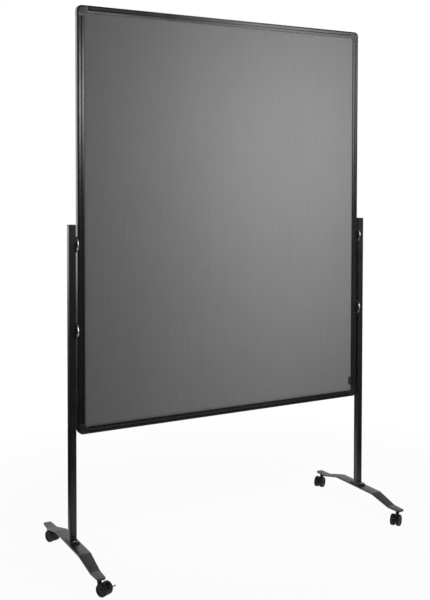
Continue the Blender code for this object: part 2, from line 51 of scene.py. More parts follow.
# Sizes read from the frame
HALF_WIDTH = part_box("stile_right")[1].x
FACE = HALF_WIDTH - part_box("stile_right")[0].x
HALF_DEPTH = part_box("rail_top")[1].y
BOARD_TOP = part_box("rail_top")[1].z
BOARD_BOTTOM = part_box("rail_bottom")[0].z
BOARD_MIDDLE = (BOARD_TOP + BOARD_BOTTOM) / 2
HALF_HEIGHT = (BOARD_TOP - BOARD_BOTTOM) / 2
RAIL_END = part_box("rail_top")[1].x
STILE_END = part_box("stile_right")[1].z - BOARD_MIDDLE
POST_X = (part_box("post_right")[0].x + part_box("post_right")[1].x) / 2
POST_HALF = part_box("post_right")[1].x - POST_X
FOOT_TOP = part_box("foot_bar_right")[1].z
FOOT_HALF_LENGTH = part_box("foot_bar_right")[1].y
WHEEL_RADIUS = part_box("castor_wheel_a_rear_right")[1].z / 2
FABRIC_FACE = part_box("fabric_back")[1].y

# Fine sizes of the visible surfaces
FRAME_WALL = 0.0022
CROWN_ALLOWANCE = 0.0008
CHANNEL_FLOOR = 0.016
CHANNEL_HALF = 0.008
CORNER_RADIUS = 0.018
PANEL_ROOM_HALF = 0.0096
FABRIC_TUCKED = 0.0073
FABRIC_INNER = 0.0068
FOOT_THICKNESS = 0.006
FOOT_END_TOP = 0.059
FOOT_INNER_BEND = 0.1245
FOOT_OUTER_BEND = 0.2246
FOOT_CENTRE_HALF_WIDTH = 0.022
FOOT_END_HALF_WIDTH = 0.015
FOOT_END_RADIUS = 0.008
CASTOR_TRAIL = 0.0215
WHEEL_INNER = 0.0043
WHEEL_WIDTH = 0.0142
WEB_HALF = 0.0038
NECK_HALF = 0.0062
COLLAR_TOP = 0.0495
STEM_RADIUS = 0.004
AXLE_RADIUS = 0.003
GAP = 0.0003
BOARD_TRAVEL = 0.300

# Strengths of the world: the backdrop behind the board, the dark room in front of it, and a bright
# panel far behind on the left
BACKDROP_LIGHT = 0.75
ROOM_LIGHT = 0.01
PANEL_LIGHT = 1.2
PANEL_DIRECTION = (-0.33, 0.94, 0.12)


# Node materials


class Surface:
    """A Principled material, with short calls that add nodes to it."""

    def __init__(self, name, colour, roughness, metallic=0.0, **sockets):
        self.material = bpy.data.materials.new(name)
        self.material.use_nodes = True
        self.nodes = self.material.node_tree.nodes
        self.links = self.material.node_tree.links
        self.shader = self.nodes["Principled BSDF"]
        self.shader.inputs["Base Color"].default_value = (*colour, 1)
        self.shader.inputs["Roughness"].default_value = roughness
        self.shader.inputs["Metallic"].default_value = metallic
        for socket, value in sockets.items():
            self.shader.inputs[socket.replace("_", " ")].default_value = value
        self.place = self.nodes.new("ShaderNodeTexCoord").outputs["Object"]
        self.heights = []

    def link(self, source, socket):
        self.links.new(source, socket)

    def math(self, operation, first, second=0.0):
        node = self.nodes.new("ShaderNodeMath")
        node.operation = operation
        for socket, value in zip(node.inputs, (first, second)):
            if isinstance(value, (int, float)):
                socket.default_value = value
            else:
                self.link(value, socket)
        return node.outputs[0]

    def stretched(self, scale):
        """The place, with its axes scaled."""
        node = self.nodes.new("ShaderNodeVectorMath")
        node.operation = "MULTIPLY"
        self.link(self.place, node.inputs[0])
        node.inputs[1].default_value = scale
        return node.outputs[0]

    def noise(self, scale, detail=3.0, roughness=0.55, stretch=None):
        node = self.nodes.new("ShaderNodeTexNoise")
        node.inputs["Scale"].default_value = scale
        node.inputs["Detail"].default_value = detail
        node.inputs["Roughness"].default_value = roughness
        self.link(self.stretched(stretch) if stretch else self.place, node.inputs["Vector"])
        return node.outputs["Fac"]

    def spread(self, value, low, high, start=0.3, end=0.7):
        """The value's range from start to end, mapped to low to high."""
        node = self.nodes.new("ShaderNodeMapRange")
        node.inputs["From Min"].default_value = start
        node.inputs["From Max"].default_value = end
        node.inputs["To Min"].default_value = low
        node.inputs["To Max"].default_value = high
        self.link(value, node.inputs["Value"])
        return node.outputs["Result"]

    def colours(self, value, *stops):
        """A colour ramp of (position, colour) stops on the shader's base colour."""
        ramp = self.nodes.new("ShaderNodeValToRGB")
        elements = ramp.color_ramp.elements
        while len(elements) < len(stops):
            elements.new(0.5)
        for element, (position, colour) in zip(elements, stops):
            element.position = position
            element.color = (*colour, 1)
        self.link(value, ramp.inputs["Fac"])
        self.link(ramp.outputs["Color"], self.shader.inputs["Base Color"])

    def roughness(self, value):
        self.link(value, self.shader.inputs["Roughness"])

    def bump(self, height, distance, strength=1.0):
        """Adds a bump of that distance in metres on top of the ones before it."""
        node = self.nodes.new("ShaderNodeBump")
        node.inputs["Distance"].default_value = distance
        node.inputs["Strength"].default_value = strength
        self.link(height, node.inputs["Height"])
        if self.heights:
            self.link(self.heights[-1], node.inputs["Normal"])
        self.heights.append(node.outputs["Normal"])
        self.link(node.outputs["Normal"], self.shader.inputs["Normal"])


def grey(value, warm=0.0):
    return (value * (1 + warm), value, value * (1 - warm))


def woven_fabric():
    """Plain weave of mottled grey yarns, one yarn about every 1.2 mm, with slubs along the warp."""
    s = Surface("woven_grey_fabric", grey(0.15), 0.78,
                Sheen_Weight=0.25, Sheen_Roughness=0.45, Specular_IOR_Level=0.35)
    pitch = 0.0012
    split = s.nodes.new("ShaderNodeSeparateXYZ")
    s.link(s.place, split.inputs[0])
    across, along = (s.math("DIVIDE", split.outputs[axis], pitch) for axis in ("X", "Z"))
    over = s.math("MODULO", s.math("ADD", s.math("FLOOR", across), s.math("FLOOR", along)), 2.0)
    over = s.math("ABSOLUTE", over)
    warp = s.math("SINE", s.math("MULTIPLY", s.math("FRACT", across), math.pi))
    weft = s.math("SINE", s.math("MULTIPLY", s.math("FRACT", along), math.pi))
    warp_height = s.math("MULTIPLY", warp, s.math("ADD", s.math("MULTIPLY", weft, 0.4), 0.6))
    weft_height = s.math("MULTIPLY", weft, s.math("ADD", s.math("MULTIPLY", warp, 0.4), 0.6))
    under = s.math("SUBTRACT", 1.0, over)
    height = s.math("ADD", s.math("MULTIPLY", over, warp_height), s.math("MULTIPLY", under, weft_height))
    streaks = s.noise(1.0, 3.0, stretch=(190, 190, 9))
    slub = s.noise(1.0, 2.0, stretch=(420, 420, 60))
    melange = s.noise(1.0, 3.0, stretch=(900, 900, 260))
    cloud = s.noise(3.0, 4.0, 0.6)
    tone = s.math("ADD", s.math("MULTIPLY", slub, 0.14), s.math("MULTIPLY", melange, 0.40))
    tone = s.math("ADD", tone, s.math("MULTIPLY", streaks, 0.14))
    tone = s.math("ADD", tone, s.math("MULTIPLY", cloud, 0.10))
    # Painted shade of the weave: yarn crowns painted lighter and the hollows between yarns painted darker
    tone = s.math("ADD", tone, s.math("MULTIPLY", height, 0.20))
    tone = s.math("ADD", tone, s.math("MULTIPLY", over, 0.02))
    s.colours(tone, (0.38, grey(0.120)), (0.52, grey(0.155)), (0.66, grey(0.190)))
    s.roughness(s.spread(cloud, 0.70, 0.82))
    s.bump(height, 0.00022, 0.8)
    s.bump(s.noise(1.0, 2.0, stretch=(2600, 2600, 700)), 0.00006, 0.6)
    return s.material


def black_metal(name, stretch, value=0.018, roughness=(0.20, 0.29)):
    """Black coated aluminium extrusion: faint die lines along it, stretch being small along its length."""
    s = Surface(name, grey(value), roughness[0])
    lines = s.noise(1.0, 3.0, stretch=stretch)
    smudge = s.noise(14.0, 4.0)
    s.colours(s.math("ADD", s.math("MULTIPLY", lines, 0.5), s.math("MULTIPLY", smudge, 0.5)),
              (0.35, grey(value * 0.8)), (0.65, grey(value * 1.25)))
    s.roughness(s.spread(s.math("ADD", s.math("MULTIPLY", lines, 0.4), s.math("MULTIPLY", smudge, 0.6)),
                         *roughness))
    s.bump(lines, 0.00003, 0.5)
    s.bump(s.noise(1400.0, 2.0), 0.00001, 0.6)
    return s.material


def powder_coat():
    """Black semi-gloss powder coat, with its orange-peel surface."""
    s = Surface("black_powder_coat", grey(0.009), 0.34, 0.0, Coat_Weight=0.1, Coat_Roughness=0.3)
    peel = s.noise(420.0, 2.0, 0.4)
    smudge = s.noise(18.0, 4.0)
    s.colours(s.math("ADD", s.math("MULTIPLY", peel, 0.4), s.math("MULTIPLY", smudge, 0.6)),
              (0.35, grey(0.007)), (0.65, grey(0.011)))
    s.roughness(s.spread(smudge, 0.24, 0.33))
    s.bump(peel, 0.00004, 0.3)
    s.bump(s.noise(1900.0, 2.0), 0.00002, 0.6)
    return s.material


def moulded_plastic(name, value=0.020, roughness=(0.42, 0.55), specular=0.5):
    """Black injection-moulded plastic with a fine spark-eroded grain."""
    s = Surface(name, grey(value), roughness[0], Specular_IOR_Level=specular)
    grain = s.noise(1500.0, 2.0, 0.5)
    smudge = s.noise(30.0, 4.0)
    s.colours(s.math("ADD", s.math("MULTIPLY", grain, 0.4), s.math("MULTIPLY", smudge, 0.6)),
              (0.35, grey(value * 0.8)), (0.65, grey(value * 1.3)))
    s.roughness(s.spread(smudge, *roughness))
    s.bump(grain, 0.00004, 0.7)
    return s.material


def wheel_tread():
    """Black hard tread, dulled and faintly dusty where it rolls."""
    s = Surface("black_wheel_tread", grey(0.008), 0.5, Specular_IOR_Level=0.25)
    dust = s.noise(90.0, 5.0, 0.65)
    s.colours(dust, (0.35, grey(0.006)), (0.60, grey(0.010)), (0.75, grey(0.022, 0.06)))
    s.roughness(s.spread(dust, 0.42, 0.62))
    s.bump(s.noise(700.0, 3.0), 0.00005, 0.7)
    return s.material


def turned_silver():
    """Satin aluminium turned on a lathe: fine rings round the local X axis."""
    s = Surface("turned_silver", grey(0.86), 0.26, 1.0)
    split = s.nodes.new("ShaderNodeSeparateXYZ")
    s.link(s.place, split.inputs[0])
    radius = s.math("SQRT", s.math("ADD", s.math("POWER", split.outputs["X"], 2.0),
                                   s.math("POWER", split.outputs["Y"], 2.0)))
    rings = s.math("SINE", s.math("MULTIPLY", radius, 2 * math.pi / 0.00035))
    handling = s.noise(120.0, 4.0)
    s.colours(handling, (0.3, grey(0.80)), (0.7, grey(0.92)))
    s.roughness(s.spread(handling, 0.20, 0.34))
    s.bump(rings, 0.000006, 0.6)
    s.bump(s.noise(900.0, 3.0), 0.00001, 0.5)
    return s.material


def bright_zinc():
    s = Surface("bright_zinc", grey(0.62, 0.02), 0.3, 1.0)
    bloom = s.noise(260.0, 5.0, 0.6)
    s.colours(bloom, (0.3, grey(0.50, 0.02)), (0.7, grey(0.72, 0.02)))
    s.roughness(s.spread(bloom, 0.24, 0.42))
    s.bump(bloom, 0.00002, 0.6)
    return s.material


def soft_rubber():
    s = Surface("black_rubber", grey(0.016), 0.7)
    bloom = s.noise(240.0, 4.0)
    s.colours(bloom, (0.3, grey(0.012)), (0.7, grey(0.024)))
    s.roughness(s.spread(bloom, 0.6, 0.8))
    s.bump(s.noise(1800.0, 2.0), 0.00004, 0.7)
    return s.material


def fibreboard():
    s = Surface("soft_fibreboard", (0.36, 0.27, 0.17), 0.9)
    fibres = s.noise(1.0, 5.0, 0.6, stretch=(700, 700, 220))
    s.colours(fibres, (0.3, (0.26, 0.19, 0.12)), (0.7, (0.45, 0.35, 0.23)))
    s.roughness(s.spread(fibres, 0.85, 0.95))
    s.bump(fibres, 0.0003, 0.8)
    return s.material


MATERIALS = {
    "fabric": woven_fabric(),
    "rail": black_metal("black_rail", (8, 900, 900), 0.008),
    "stile": black_metal("black_stile", (900, 900, 8), 0.008),
    "corner": moulded_plastic("corner_plastic", 0.010, (0.28, 0.38)),
    "steel": powder_coat(),
    "plastic": moulded_plastic("castor_plastic", 0.007, (0.34, 0.46), 0.25),
    "tread": wheel_tread(),
    "silver": turned_silver(),
    "zinc": bright_zinc(),
    "rubber": soft_rubber(),
    "core": fibreboard(),
}


# Shapes


def arc(centre, radius, start, end, steps):
    """Points from the angle start to the angle end, in degrees; radius may be one for each axis."""
    rx, ry = radius if isinstance(radius, tuple) else (radius, radius)
    angles = [math.radians(start + (end - start) * i / steps) for i in range(steps + 1)]
    return [(centre[0] + rx * math.cos(a), centre[1] + ry * math.sin(a)) for a in angles]


def rounded_box(half_x, half_y, radius, steps=8):
    points = []
    for x, y, angle in ((1, 1, 0), (-1, 1, 90), (-1, -1, 180), (1, -1, 270)):
        points += arc((x * (half_x - radius), y * (half_y - radius)), radius, angle, angle + 90, steps)
    return points


def axes(x, y, origin=(0, 0, 0)):
    """The matrix whose local X and Y point along x and y."""
    x, y = Vector(x), Vector(y)
    return Matrix.Translation(origin) @ Matrix((x, y, x.cross(y))).transposed().to_4x4()


def mesh_from(build):
    """A mesh filled by build, a function that draws into an empty bmesh."""
    shape = bmesh.new()
    build(shape)
    bmesh.ops.recalc_face_normals(shape, faces=shape.faces)
    mesh = bpy.data.meshes.new("piece")
    shape.to_mesh(mesh)
    shape.free()
    return mesh


def thing(name, mesh):
    obj = bpy.data.objects.new(name, mesh)
    bpy.context.scene.collection.objects.link(obj)
    return obj


def block(name, low, high):
    low, high = Vector(low), Vector(high)
    place = Matrix.Translation((low + high) / 2) @ Matrix.Diagonal((*(high - low), 1))
    return thing(name, mesh_from(lambda shape: bmesh.ops.create_cube(shape, size=1, matrix=place)))


def cylinder(name, radius, start, end, sides=48):
    start, end = Vector(start), Vector(end)
    place = Matrix.Translation((start + end) / 2) @ (end - start).to_track_quat("Z", "Y").to_matrix().to_4x4()

    def build(shape):
        bmesh.ops.create_cone(
            shape, cap_ends=True, segments=sides, radius1=radius, radius2=radius,
            depth=(end - start).length, matrix=place,
        )

    return thing(name, mesh_from(build))


def extrusion(name, outlines, half_depth, place):
    """A flat outline, with any holes in it, extruded both ways along the local Z of place."""
    curve = bpy.data.curves.new(name, "CURVE")
    curve.dimensions = "2D"
    curve.fill_mode = "BOTH"
    curve.extrude = half_depth
    for outline in outlines:
        spline = curve.splines.new("POLY")
        spline.points.add(len(outline) - 1)
        for point, (x, y) in zip(spline.points, outline):
            point.co = (x, y, 0, 1)
        spline.use_cyclic_u = True
    drawn = thing(name, curve)
    graph = bpy.context.evaluated_depsgraph_get()
    raw = bpy.data.meshes.new_from_object(drawn.evaluated_get(graph))
    bpy.data.objects.remove(drawn)

    def build(shape):
        shape.from_mesh(raw)
        bmesh.ops.remove_doubles(shape, verts=shape.verts, dist=0.000001)
        bmesh.ops.transform(shape, matrix=place, verts=shape.verts)

    return thing(name, mesh_from(build))


def loft(name, rings, closed=False):
    """A skin over rings of the same number of points, capped at both ends unless it closes on itself."""

    def build(shape):
        rows = [[shape.verts.new(point) for point in ring] for ring in rings]
        pairs = list(zip(rows, rows[1:]))
        if closed:
            pairs.append((rows[-1], rows[0]))
        for row, after in pairs:
            for i in range(len(row)):
                j = (i + 1) % len(row)
                shape.faces.new((row[i], row[j], after[j], after[i]))
        if not closed:
            shape.faces.new(rows[0])
            shape.faces.new(rows[-1])

    return thing(name, mesh_from(build))


def turned(name, profile, steps=64):
    """A closed profile of (radius, height) points turned about the local Z."""

    def build(shape):
        rows = []
        for i in range(steps):
            a = 2 * math.pi * i / steps
            rows.append([Vector((r * math.cos(a), r * math.sin(a), z)) for r, z in profile])
        verts = [[shape.verts.new(point) for point in row] for row in rows]
        for i in range(steps):
            row, after = verts[i], verts[(i + 1) % steps]
            for k in range(len(profile) - 1):
                shape.faces.new((row[k], row[k + 1], after[k + 1], after[k]))
        bmesh.ops.remove_doubles(shape, verts=shape.verts, dist=0.000001)

    return thing(name, mesh_from(build))


def settle(obj):
    """Applies the object's modifiers to its mesh."""
    graph = bpy.context.evaluated_depsgraph_get()
    mesh = bpy.data.meshes.new_from_object(obj.evaluated_get(graph))
    obj.modifiers.clear()
    obj.data = mesh
    return obj


def boolean(obj, other, operation):
    modifier = obj.modifiers.new("boolean", "BOOLEAN")
    modifier.object = other
    modifier.operation = operation
    modifier.solver = "EXACT"
    settle(obj)
    bpy.data.objects.remove(other)
    return obj


def soften(obj, width, segments=3, angle=40):
    modifier = obj.modifiers.new("soft_edges", "BEVEL")
    modifier.width = width
    modifier.segments = segments
    modifier.limit_method = "ANGLE"
    modifier.angle_limit = math.radians(angle)
    modifier.harden_normals = False
    return settle(obj)


def finish(obj, material, body, replaced=(), sharp=35):
    """Shades a piece, gives it its material, and rides it on its body."""
    obj.data.materials.clear()
    obj.data.materials.append(MATERIALS[material])
    obj.data.shade_smooth()
    obj.data.set_sharp_from_angle(angle=math.radians(sharp))
    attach(obj, body)
    if replaced:
        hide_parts(*replaced)
    return obj


# Board frame


def crowned_face(with_bead=True):
    """Front half of a frame section, as (distance in from the outer face, depth) points.

    It is crowned at the outer edge, flat in the middle, and has a soft bead that falls to the fabric.
    """
    flat, crown, crown_drop, corner = HALF_DEPTH - 0.0009, 0.0065, 0.0010, 0.0012
    bead_start, bead_top, bead_height, bead_drop, lip = 0.0134, 0.0172, 0.0009, 0.0002, 0.0005
    half = arc((corner, flat - crown_drop - corner), corner, 180, 112, 6)
    start_x, start_y = half[-1]
    for i in range(1, 13):
        x = start_x + (crown - start_x) * i / 12
        half.append((x, flat - (flat - start_y) * ((crown - x) / (crown - start_x)) ** 2))
    if not with_bead:
        bead_height = 0.0
    for i in range(9):
        t = i / 8
        half.append((bead_start + (bead_top - bead_start) * t,
                     flat - 0.00003 + bead_height * (0.5 - 0.5 * math.cos(math.pi * t))))
    top = half[-1][1]
    for i in range(1, 13):
        t = i / 12
        half.append((bead_top + (FACE - lip - bead_top) * t, top - bead_drop * t * t))
    end_y = half[-1][1]
    return half + arc((FACE - lip, end_y - lip), lip, 76, 0, 5)


def both_faces(half):
    return half + [(x, -y) for x, y in reversed(half)]


def frame_member(name, half_length, place, material, node):
    half = crowned_face() + [(FACE, CHANNEL_HALF), (CHANNEL_FLOOR, CHANNEL_HALF)]
    low, high, deep = FRAME_WALL, CHANNEL_FLOOR - FRAME_WALL, HALF_DEPTH - FRAME_WALL - CROWN_ALLOWANCE
    hollow = [(x + (low + high) / 2, y) for x, y in rounded_box((high - low) / 2, deep, 0.0012, 4)]
    member = extrusion(name, [both_faces(half), hollow], half_length, place)
    if node.startswith("stile"):
        sign = SIDES[node.split("_")[1]]
        for level in LEVELS:
            z = wheel_centre(level, "right").z
            reach, clearance = 0.006, 0.0005
            start, end = (sign * (HALF_WIDTH - reach), 0, z), (sign * (HALF_WIDTH + reach), 0, z)
            boolean(member, cylinder("bore", STEM_RADIUS + clearance, start, end), "DIFFERENCE")
    return finish(member, material, "board", [node], sharp=28)


def wheel_centre(level, side):
    low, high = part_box(f"clamp_wheel_{level}_{side}")
    return (low + high) / 2


def corner_rings():
    """Rings of a corner piece, in distances in from the board's side and from its top or bottom."""
    leg_x, leg_z = HALF_WIDTH - RAIL_END - GAP, HALF_HEIGHT - STILE_END - GAP
    inner, chamfer, radius = FACE, 0.006, CORNER_RADIUS
    outer_path = [(leg_x, 0.0), (leg_x - 0.0003, 0.0)]
    inner_path = [(leg_x, inner), (leg_x - 0.0003, inner)]
    bend = arc((radius, radius), radius, 270, 180, 14)
    for i, point in enumerate(bend):
        t = i / (len(bend) - 1)
        outer_path.append(point)
        inner_path.append((inner + chamfer * (1 - t), inner + chamfer * t))
    outer_path += [(0.0, leg_z - 0.0003), (0.0, leg_z)]
    inner_path += [(inner, leg_z - 0.0003), (inner, leg_z)]
    section = both_faces(crowned_face(with_bead=False))
    rings = []
    last = len(outer_path) - 1
    for i, (start, end) in enumerate(zip(outer_path, inner_path)):
        start, end = Vector(start), Vector(end)
        drop = 0.0003 if i in (0, last) else 0.0
        ring = []
        for x, y in section:
            t = x / FACE
            place = start.lerp(end, t)
            ring.append((place.x, place.y, y + math.copysign(0.0002 - drop, y)))
        rings.append(ring)
    return rings


def make_corner(level, side):
    sign_x, sign_z = SIDES[side], 1 if level == "top" else -1
    rings = [
        [(sign_x * (HALF_WIDTH - u), y, BOARD_MIDDLE + sign_z * (HALF_HEIGHT - v)) for u, v, y in ring]
        for ring in corner_rings()
    ]
    piece = loft(f"frame_corner_{level}_{side}", rings)
    (core_low, core_high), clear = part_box("core_panel"), Vector((GAP, 0, GAP))
    low, high = core_low - clear, core_high + clear
    low.y, high.y = -PANEL_ROOM_HALF, PANEL_ROOM_HALF
    boolean(piece, block("panel_room", low, high), "DIFFERENCE")
    return finish(piece, "corner", "board", [f"corner_{level}_{side}"], sharp=30)


def make_frame():
    rail, stile = RAIL_END, STILE_END
    frame_member("frame_rail_top", rail, axes((0, 0, -1), (0, 1, 0), (0, 0, BOARD_TOP)), "rail", "rail_top")
    frame_member("frame_rail_bottom", rail, axes((0, 0, 1), (0, 1, 0), (0, 0, BOARD_BOTTOM)), "rail",
                 "rail_bottom")
    for side, sign in SIDES.items():
        place = axes((-sign, 0, 0), (0, -sign, 0), (sign * HALF_WIDTH, 0, BOARD_MIDDLE))
        frame_member(f"frame_stile_{side}", stile, place, "stile", f"stile_{side}")
        for level in ("top", "bottom"):
            make_corner(level, side)


# Fabric


def graded(low, high, near, step):
    """Positions from low to high: near steps in from each end, then even ones about step apart."""
    inner_low, inner_high = low + near[-1], high - near[-1]
    count = round((inner_high - inner_low) / step)
    middle = [inner_low + (inner_high - inner_low) * i / count for i in range(1, count)]
    return [low + d for d in near] + middle + [high - d for d in reversed(near)]


def fabric_depth(x, z, low, high, seed):
    """Depth of the fabric's outer face: flat, rolled in along the frame, with slight puckers there."""
    under_lip = FACE - CHANNEL_FLOOR
    edge = min(x - low.x, high.x - x, z - low.z, high.z - z) - under_lip
    pucker = noise.noise((x * 14 + seed, z * 14, seed)) + 0.6 * noise.noise((x * 37, z * 37 + seed, seed))
    reach = 0.0120 + 0.0040 * pucker
    t = min(max((edge + 0.0008) / reach, 0.0), 1.0)
    rise = 1 - (1 - t) ** 2
    slack = 0.00008 * noise.noise((x * 5, z * 3 + seed, seed)) + 0.00010 * pucker * math.exp(-edge / 0.02)
    return FABRIC_TUCKED + (FABRIC_FACE - FABRIC_TUCKED + slack) * rise


def make_fabric(face, sign):
    low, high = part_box(f"fabric_{face}")
    near = [0.0, 0.003, 0.006, 0.0078] + [0.0084 + 0.0010 * i for i in range(17)] + [0.0290]
    step, seed = 0.011, 3.0 * sign
    xs, zs = graded(low.x, high.x, near, step), graded(low.z, high.z, near, step)

    def build(shape):
        grids = []
        for outside in (True, False):
            grid = []
            for z in zs:
                depths = [fabric_depth(x, z, low, high, seed) if outside else FABRIC_INNER for x in xs]
                grid.append([shape.verts.new((x, sign * d, z)) for x, d in zip(xs, depths)])
            grids.append(grid)
            for row, above in zip(grid, grid[1:]):
                for i in range(len(xs) - 1):
                    shape.faces.new((row[i], row[i + 1], above[i + 1], above[i]))
        outer_edge, inner_edge = (edge_loop(grid) for grid in grids)
        for i in range(len(outer_edge)):
            j = (i + 1) % len(outer_edge)
            shape.faces.new((outer_edge[i], outer_edge[j], inner_edge[j], inner_edge[i]))

    sheet = thing(f"board_fabric_{face}", mesh_from(build))
    finish(sheet, "fabric", "board", [f"fabric_{face}"])


def edge_loop(grid):
    return grid[0] + [row[-1] for row in grid[1:]] + grid[-1][-2::-1] + [row[0] for row in grid[-2:0:-1]]


def make_edge_tab():
    low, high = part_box("edge_tab")
    middle = (low + high) / 2
    outline = rounded_box((high.x - low.x) / 2, (high.z - low.z) / 2, 0.0015, 6)
    place = axes((1, 0, 0), (0, 0, 1), middle)
    tab = extrusion("edge_tab_plate", [outline], (high.y - low.y) / 2, place)
    soften(tab, 0.0006)
    finish(tab, "rubber", "board", ["edge_tab"])


# Clamps


def make_clamp(level, side):
    """A turned silver hand wheel, bevelled and fluted at the rim, and the rubber pad behind it."""
    sign = SIDES[side]
    name = f"{level}_{side}"
    low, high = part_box(f"clamp_wheel_{name}")
    middle, half, radius = (low + high) / 2, (high.x - low.x) / 2, (high.z - low.z) / 2
    pad, bore, edge, bevel = 0.0016, STEM_RADIUS + GAP, 0.0011, 0.0045
    face_in, face_out = -half + pad, half
    flutes, flute_depth, steps = 40, 0.010, 240
    profile = [(bore, face_out), (0.0085, face_out), (0.0095, face_out - 0.0006)]
    profile += [(radius - bevel - 0.0010, face_out - 0.0006), (radius - bevel, face_out)]
    profile += [(radius - 0.0001, face_in + edge + 0.0022)]
    profile += arc((radius - edge, face_in + edge), edge, 0, -90, 5)
    profile += [(bore, face_in), (bore, face_out)]
    wheel = turned(f"clamp_hand_wheel_{name}", profile, steps)
    for vertex in wheel.data.vertices:
        reach = math.hypot(vertex.co.x, vertex.co.y)
        if reach > radius - edge * 0.9:
            angle = math.atan2(vertex.co.y, vertex.co.x)
            scale = 1 - flute_depth * (0.5 + 0.5 * math.cos(flutes * angle))
            vertex.co.x *= scale
            vertex.co.y *= scale
    ring = [(bore, -half), (radius - 0.0015, -half), (radius - 0.0008, -half + 0.0006)]
    ring += [(radius - 0.0008, face_in), (bore, face_in), (bore, -half)]
    pad_piece = turned(f"clamp_pad_{name}", ring, 96)
    turn = Matrix.Rotation(sign * math.pi / 2, 4, "Y")
    for piece, material, replaced in ((wheel, "silver", [f"clamp_wheel_{name}"]), (pad_piece, "rubber", [])):
        piece.matrix_world = Matrix.Translation(middle) @ turn
        finish(piece, material, f"clamp_wheel_{name}", replaced)


# Stand


def foot_path():
    """Middle line of a foot bar from front to rear, as (y, z) points with rounded bends."""
    centre, end = FOOT_TOP - FOOT_THICKNESS / 2, FOOT_END_TOP - FOOT_THICKNESS / 2
    rear = [(FOOT_INNER_BEND, centre), (FOOT_OUTER_BEND, end), (FOOT_HALF_LENGTH, end)]
    corners = [Vector((-y, z)) for y, z in reversed(rear)] + [Vector(point) for point in rear]
    bend_radius, steps = 0.030, 14
    path = [corners[0]]
    for before, at, after in zip(corners, corners[1:], corners[2:]):
        come, go = (at - before).normalized(), (after - at).normalized()
        turn = math.atan2(come.x * go.y - come.y * go.x, come.dot(go))
        start = at - come * bend_radius * math.tan(abs(turn) / 2)
        side = Vector((-come.y, come.x)) * math.copysign(1, turn)
        pivot = start + side * bend_radius
        spoke = start - pivot
        for i in range(steps + 1):
            angle = turn * i / steps
            cosine, sine = math.cos(angle), math.sin(angle)
            turned_spoke = Vector((spoke.x * cosine - spoke.y * sine, spoke.x * sine + spoke.y * cosine))
            path.append(pivot + turned_spoke)
    path.append(corners[-1])
    return path


def foot_half_width(y):
    taper_end = FOOT_HALF_LENGTH - FOOT_END_RADIUS
    y = abs(y)
    if y <= FOOT_INNER_BEND:
        return FOOT_CENTRE_HALF_WIDTH
    if y <= taper_end:
        t = (y - FOOT_INNER_BEND) / (taper_end - FOOT_INNER_BEND)
        return FOOT_CENTRE_HALF_WIDTH + (FOOT_END_HALF_WIDTH - FOOT_CENTRE_HALF_WIDTH) * t
    reach = min((y - taper_end) / FOOT_END_RADIUS, 1.0)
    return FOOT_END_HALF_WIDTH - FOOT_END_RADIUS + FOOT_END_RADIUS * math.sqrt(1 - reach * reach)


def make_foot(side, sign):
    path = foot_path()
    taper_end = FOOT_HALF_LENGTH - FOOT_END_RADIUS
    rounding = [taper_end + FOOT_END_RADIUS * math.sin(math.pi / 2 * i / 8) for i in range(8)]
    ends_z = FOOT_END_TOP - FOOT_THICKNESS / 2
    stations = [path[0]] + [Vector((-y, ends_z)) for y in reversed(rounding)] + path[1:-1]
    stations += [Vector((y, ends_z)) for y in rounding] + [path[-1]]
    rings = []
    for i, point in enumerate(stations):
        along = (stations[min(i + 1, len(stations) - 1)] - stations[max(i - 1, 0)]).normalized()
        normal = Vector((-along.y, along.x)) * FOOT_THICKNESS / 2
        half = foot_half_width(point.x)
        x = sign * POST_X
        upper, lower = point + normal, point - normal
        rings.append([(x - half, upper.x, upper.y), (x + half, upper.x, upper.y),
                      (x + half, lower.x, lower.y), (x - half, lower.x, lower.y)])
    foot = loft(f"foot_{side}", rings)
    soften(foot, 0.0011, 3, angle=50)
    finish(foot, "steel", "stand", [f"foot_bar_{side}"], sharp=30)


def make_post(side, sign):
    x = sign * POST_X
    low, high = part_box(f"post_{side}")[0].z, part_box(f"post_{side}")[1].z
    place = axes((1, 0, 0), (0, 1, 0), (x, 0, (low + high) / 2))
    inner_half = POST_HALF - 0.002
    outlines = [rounded_box(POST_HALF, POST_HALF, 0.0025), rounded_box(inner_half, inner_half, 0.001, 4)]
    post = extrusion(f"post_tube_{side}", outlines, (high - low) / 2, place)
    slot_half, room = STEM_RADIUS + 0.0004, 0.008
    top = wheel_centre("upper", side).z + room - slot_half
    bottom = wheel_centre("lower", side).z - BOARD_TRAVEL - room + slot_half
    stadium = arc((0, top), slot_half, 0, 180, 16) + arc((0, bottom), slot_half, 180, 360, 16)
    wall = axes((0, 1, 0), (0, 0, 1), (x - sign * (POST_HALF - 0.001), 0, 0))
    boolean(post, extrusion("post_slot", [stadium], 0.002, wall), "DIFFERENCE")
    finish(post, "steel", "stand", [f"post_{side}"], sharp=28)

    cap_low, cap_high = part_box(f"post_cap_{side}")
    plate_place = axes((1, 0, 0), (0, 1, 0), (x, 0, (high + GAP + cap_high.z) / 2))
    cap = extrusion(f"post_top_cap_{side}", [rounded_box(POST_HALF, POST_HALF, 0.0025)],
                    (cap_high.z - high - GAP) / 2, plate_place)
    soften(cap, 0.0008)
    plug_half = inner_half - GAP
    plug = block("plug", (x - plug_half, -plug_half, cap_low.z), (x + plug_half, plug_half, high + 0.001))
    boolean(cap, plug, "UNION")
    finish(cap, "plastic", "stand", [f"post_cap_{side}"])


